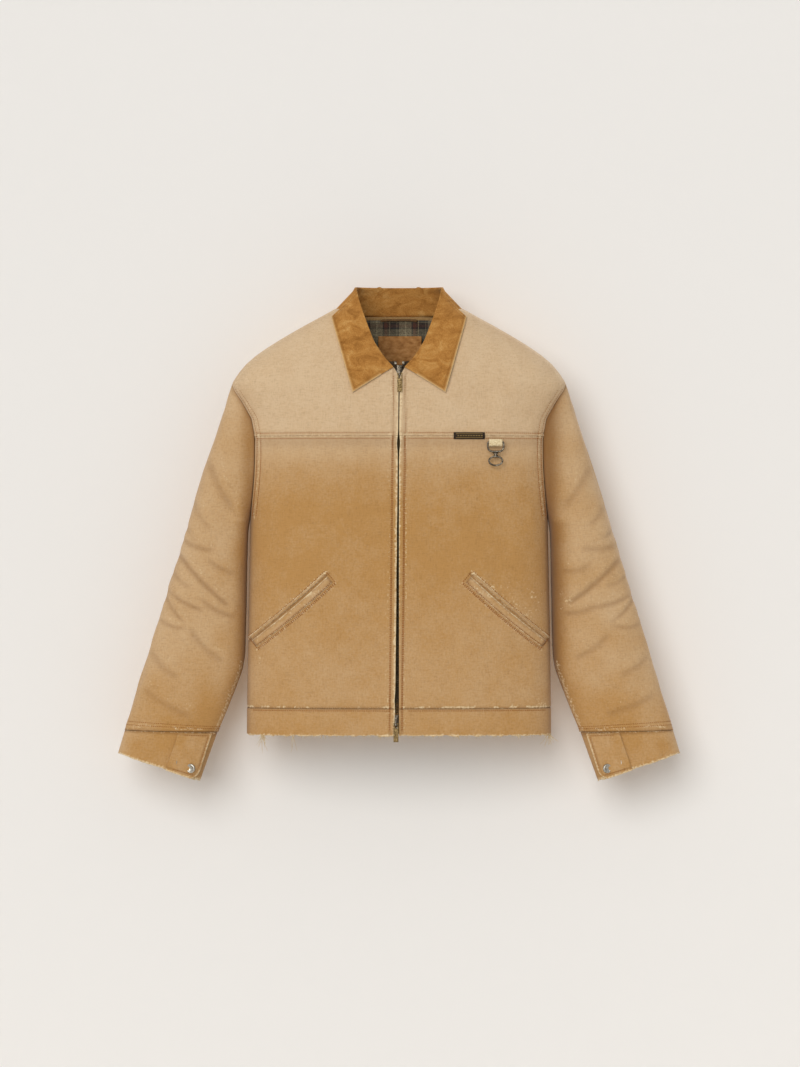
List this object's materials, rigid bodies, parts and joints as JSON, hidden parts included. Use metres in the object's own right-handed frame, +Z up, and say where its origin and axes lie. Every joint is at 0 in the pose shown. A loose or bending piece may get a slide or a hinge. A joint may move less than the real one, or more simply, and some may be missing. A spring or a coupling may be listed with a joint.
{
  "type": "canvas work jacket",
  "caption": "Boxy canvas work jacket with a suede point collar, yoke seam, two-way front zip that opens, slanted welt pockets, raised sleeves, snapped cuff tabs and a clip ring at the chest",
  "frame": {"origin": "the hanger loop, in the middle of the back neck seam", "axes": "+Z up, -Y towards the chest, +X towards the wearer's left"},
  "size_m": [0.893, 0.1529, 0.7803],
  "materials": {
    "faded_canvas": "matte",
    "canvas": "matte",
    "suede": "matte",
    "plaid": "matte",
    "patch_leather": "satin",
    "loop_leather": "satin",
    "webbing": "matte",
    "label_weave": "matte",
    "zip_tape": "matte",
    "pocketing": "matte",
    "antique_metal": "satin",
    "snap_metal": "satin"
  },
  "bodies": {
    "body": {"front_panel_left": "canvas", "front_yoke_left": "faded_canvas", "pocket_welt_left": "canvas", "pocket_bag_left": "pocketing", "lining_front_left": "plaid", "collar_wing_left": "suede", "front_panel_right": "canvas", "front_yoke_right": "faded_canvas", "pocket_welt_right": "canvas", "pocket_bag_right": "pocketing", "lining_front_right": "plaid", "collar_wing_right": "suede", "back_panel": "canvas", "back_yoke": "faded_canvas", "hem_band": "canvas", "lining_back": "plaid", "collar_fall": "suede", "collar_stand": "suede", "neck_patch": "patch_leather", "hanger_loop": "loop_leather", "chest_label": "label_weave", "webbing_loop": "webbing"},
    "front_left": {"front_edge_left": "canvas", "yoke_edge_left": "faded_canvas", "hem_edge_left": "canvas", "collar_leaf_left": "suede", "zip_teeth_left": "antique_metal", "zip_tape_left": "zip_tape", "zip_top_stop_left": "antique_metal", "zip_box": "antique_metal"},
    "front_right": {"front_edge_right": "canvas", "yoke_edge_right": "faded_canvas", "hem_edge_right": "canvas", "collar_leaf_right": "suede", "zip_teeth_right": "antique_metal", "zip_tape_right": "zip_tape", "zip_top_stop_right": "antique_metal", "zip_pin": "antique_metal"},
    "top_slider": {"top_slider": "antique_metal", "top_slider_back": "antique_metal"},
    "top_pull": {"top_pull": "antique_metal"},
    "bottom_slider": {"bottom_slider": "antique_metal", "bottom_slider_back": "antique_metal"},
    "bottom_pull": {"bottom_pull": "antique_metal"},
    "sleeve_left": {"sleeve_left": "faded_canvas", "cuff_left": "canvas", "snap_stud_left": "snap_metal"},
    "cuff_tab_left": {"cuff_tab_left": "canvas", "snap_cap_left": "snap_metal", "snap_socket_left": "snap_metal"},
    "sleeve_right": {"sleeve_right": "faded_canvas", "cuff_right": "canvas", "snap_stud_right": "snap_metal"},
    "cuff_tab_right": {"cuff_tab_right": "canvas", "snap_cap_right": "snap_metal", "snap_socket_right": "snap_metal"},
    "bail": {"bail": "antique_metal"},
    "swivel": {"swivel": "antique_metal"},
    "swivel_ring": {"swivel_ring": "antique_metal"}
  },
  "joints": [
    {"name": "front_left_open", "type": "hinge", "parent": "body", "child": "front_left", "pos_m": [0.083, -0.1445, -0.33], "axis": [0, 0, 1], "range_deg": [0, 65]},
    {"name": "front_right_open", "type": "hinge", "parent": "body", "child": "front_right", "pos_m": [-0.083, -0.1445, -0.33], "axis": [0, 0, -1], "range_deg": [0, 65]},
    {"name": "top_slider_run", "type": "slide", "parent": "front_left", "child": "top_slider", "axis": [-0.0107, 0, -0.9999], "range_m": [0, 0.4]},
    {"name": "top_pull_lift", "type": "hinge", "parent": "top_slider", "child": "top_pull", "pos_m": [0.00096, -0.142, -0.09213], "axis": [-1, 0, 0], "range_deg": [0, 120]},
    {"name": "bottom_slider_run", "type": "slide", "parent": "front_left", "child": "bottom_slider", "axis": [0.0107, 0, 0.9999], "range_m": [0, 0.1]},
    {"name": "bottom_pull_lift", "type": "hinge", "parent": "bottom_slider", "child": "bottom_pull", "pos_m": [-0.00493, -0.142, -0.64213], "axis": [-1, 0, 0], "range_deg": [0, 120]},
    {"name": "sleeve_left_raise", "type": "hinge", "parent": "body", "child": "sleeve_left", "pos_m": [0.269, -0.058, -0.104], "axis": [0, -1, 0], "range_deg": [0, 60]},
    {"name": "cuff_tab_left_open", "type": "hinge", "parent": "sleeve_left", "child": "cuff_tab_left", "pos_m": [0.35952, -0.09481, -0.68775], "axis": [-0.2934, 0, 0.956], "range_deg": [0, 110]},
    {"name": "sleeve_right_raise", "type": "hinge", "parent": "body", "child": "sleeve_right", "pos_m": [-0.269, -0.058, -0.104], "axis": [0, 1, 0], "range_deg": [0, 60]},
    {"name": "cuff_tab_right_open", "type": "hinge", "parent": "sleeve_right", "child": "cuff_tab_right", "pos_m": [-0.35952, -0.09481, -0.68775], "axis": [-0.2934, 0, -0.956], "range_deg": [0, 110]},
    {"name": "bail_swing", "type": "hinge", "parent": "body", "child": "bail", "pos_m": [0.152, -0.13579, -0.199], "axis": [-1, 0, 0], "range_deg": [0, 100]},
    {"name": "swivel_turn", "type": "hinge", "parent": "bail", "child": "swivel", "pos_m": [0.152, -0.13579, -0.2167], "axis": [0, 0, 1], "range_deg": [-25, 25]},
    {"name": "ring_tilt", "type": "hinge", "parent": "swivel", "child": "swivel_ring", "pos_m": [0.152, -0.13579, -0.2228], "axis": [-1, 0, 0], "range_deg": [0, 75]}
  ]
}
